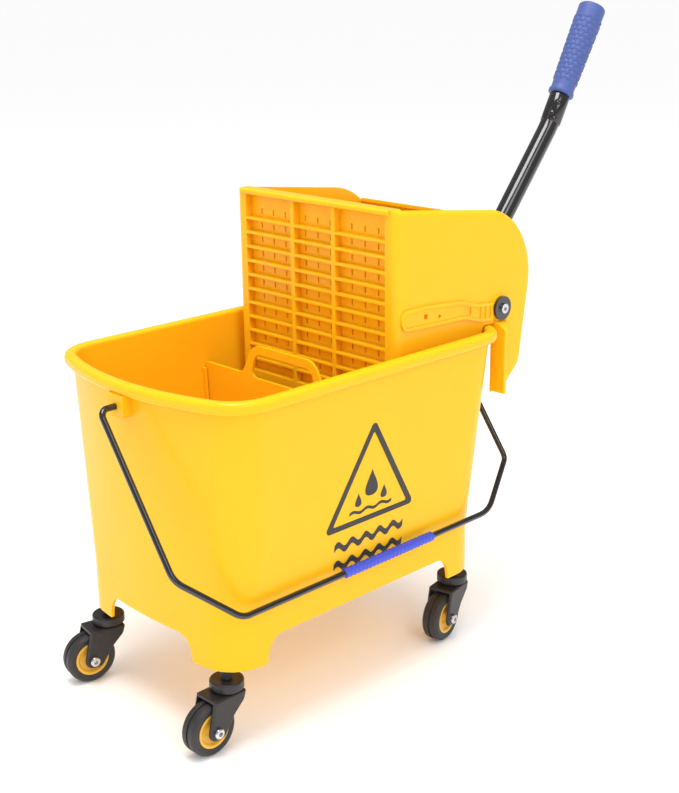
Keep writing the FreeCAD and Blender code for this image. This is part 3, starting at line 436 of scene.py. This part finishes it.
def wave(left, right, height, rise, thick, waves):
    """A band of small waves."""
    count = WAVE_STEPS * waves
    top = []
    bottom = []
    for i in range(count + 1):
        x = left + (right - left) * i / count
        z = height + rise * math.sin(2 * math.pi * waves * i / count)
        top.append((x, z + thick / 2))
        bottom.append((x, z - thick / 2))
    return bottom + top[::-1]


def drop(x, z, radius):
    """A water drop that stands on a round foot and comes to a point."""
    made = []
    for i in range(DROP_STEPS):
        angle = -math.pi / 2 + 2 * math.pi * i / DROP_STEPS
        up = (math.sin(angle) + 1) / 2
        across = radius * math.cos(angle) * (1 - up**3) ** 0.9
        made.append((x + across, z + radius * math.sin(angle) * (1 + up)))
    return made


def build_sign():
    """A triangle with three drops over a small wave, and two bands of waves below it."""
    outer = rounded_triangle(SIGN_HALF, 0, SIGN_HEIGHT, 4 * MM)
    inner_half = SIGN_HALF - 1.9 * SIGN_BORDER
    inner = rounded_triangle(inner_half, SIGN_BORDER, SIGN_HEIGHT - 2.1 * SIGN_BORDER, 1.5 * MM)
    sign_piece("sign_border", outer, inner)
    sign_piece("sign_drop_large", drop(0, 34 * MM, 9 * MM))
    sign_piece("sign_drop_left", drop(-17 * MM, 22.5 * MM, 4.5 * MM))
    sign_piece("sign_drop_right", drop(17 * MM, 22.5 * MM, 4.5 * MM))
    sign_piece("sign_wave_in", wave(-28 * MM, 28 * MM, 12.5 * MM, 1.3 * MM, 3 * MM, 3))
    for index, height in enumerate((-17, -36)):
        band = wave(-46 * MM, 46 * MM, height * MM, 3 * MM, 6.5 * MM, 5)
        sign_piece(f"sign_wave_{index}", band)


build_lever_grip()
build_lever_collar()
build_bail_grip()
build_threads()
build_sign()

# ---------------------------------------------------------------- floor, light and camera


FLOOR_HALF = 60.0
FLOOR_GAP = 0.2 * MM
FLOOR_GREY = 0.97
DIFFUSE_ROOM = 1.0
GLOSSY_ROOM = 0.3
LIGHT_AIM = (0, 0, 0.25)


def build_floor():
    mesh = bpy.data.meshes.new("floor")
    corners = [(-1, -1), (1, -1), (1, 1), (-1, 1)]
    mesh.from_pydata([(x * FLOOR_HALF, y * FLOOR_HALF, -FLOOR_GAP) for x, y in corners], [], [(0, 1, 2, 3)])
    floor = bpy.data.objects.new("floor", mesh)
    bpy.context.scene.collection.objects.link(floor)
    pale = bpy.data.materials.new("pale_floor")
    pale.use_nodes = True
    shader = pale.node_tree.nodes["Principled BSDF"]
    shader.inputs["Base Color"].default_value = (FLOOR_GREY, FLOOR_GREY, FLOOR_GREY, 1)
    shader.inputs["Roughness"].default_value = 0.9
    shader.inputs["Specular IOR Level"].default_value = 0.0
    mesh.materials.append(pale)


def add_light(name, place, width, height, power):
    """A soft box that faces the middle of the object."""
    lamp = bpy.data.lights.new(name, "AREA")
    lamp.shape = "RECTANGLE"
    lamp.size = width
    lamp.size_y = height
    lamp.energy = power
    made = bpy.data.objects.new(name, lamp)
    made.location = place
    made.rotation_euler = (Vector(LIGHT_AIM) - Vector(place)).to_track_quat("-Z", "Y").to_euler()
    bpy.context.scene.collection.objects.link(made)


def build_studio():
    world = bpy.data.worlds.new("studio")
    bpy.context.scene.world = world
    world.use_nodes = True
    tree = world.node_tree
    sky = tree.nodes["Background"]
    sky.inputs["Color"].default_value = (1, 1, 1, 1)
    # Glossy surfaces see a dimmer room, as between the soft boxes of a real studio.
    dim = tree.nodes.new("ShaderNodeMix")
    dim.inputs["A"].default_value = DIFFUSE_ROOM
    dim.inputs["B"].default_value = GLOSSY_ROOM
    tree.links.new(tree.nodes.new("ShaderNodeLightPath").outputs["Is Glossy Ray"], dim.inputs["Factor"])
    tree.links.new(dim.outputs["Result"], sky.inputs["Strength"])
    add_light("key", (-0.5, -2.2, 2.0), 1.0, 1.4, 15)
    add_light("left_fill", (-2.2, 0.4, 1.2), 0.5, 1.8, 2)
    add_light("top", (-0.4, -0.2, 2.4), 1.0, 1.0, 30)
    bpy.context.scene.view_settings.view_transform = "Standard"


CAMERA_PLACE = Vector((-0.82015, -0.92228, 0.66800))
CAMERA_AZIMUTH = math.radians(44.330)
CAMERA_ELEVATION = math.radians(17.688)
CAMERA_ROLL = math.radians(-0.621)
CAMERA_LENS = 60.14


def build_camera():
    ahead = Vector(
        (
            math.cos(CAMERA_ELEVATION) * math.sin(CAMERA_AZIMUTH),
            math.cos(CAMERA_ELEVATION) * math.cos(CAMERA_AZIMUTH),
            -math.sin(CAMERA_ELEVATION),
        )
    )
    level = ahead.cross(Vector((0, 0, 1))).normalized()
    upright = level.cross(ahead)
    right = math.cos(CAMERA_ROLL) * level + math.sin(CAMERA_ROLL) * upright
    up = math.cos(CAMERA_ROLL) * upright - math.sin(CAMERA_ROLL) * level
    lens = bpy.data.cameras.new("camera")
    lens.sensor_width = 36
    lens.lens = CAMERA_LENS
    camera = bpy.data.objects.new("camera", lens)
    turn = Matrix((right, up, -ahead)).transposed().to_4x4()
    camera.matrix_world = Matrix.Translation(CAMERA_PLACE) @ turn
    bpy.context.scene.collection.objects.link(camera)
    bpy.context.scene.camera = camera


build_floor()
build_studio()
build_camera()
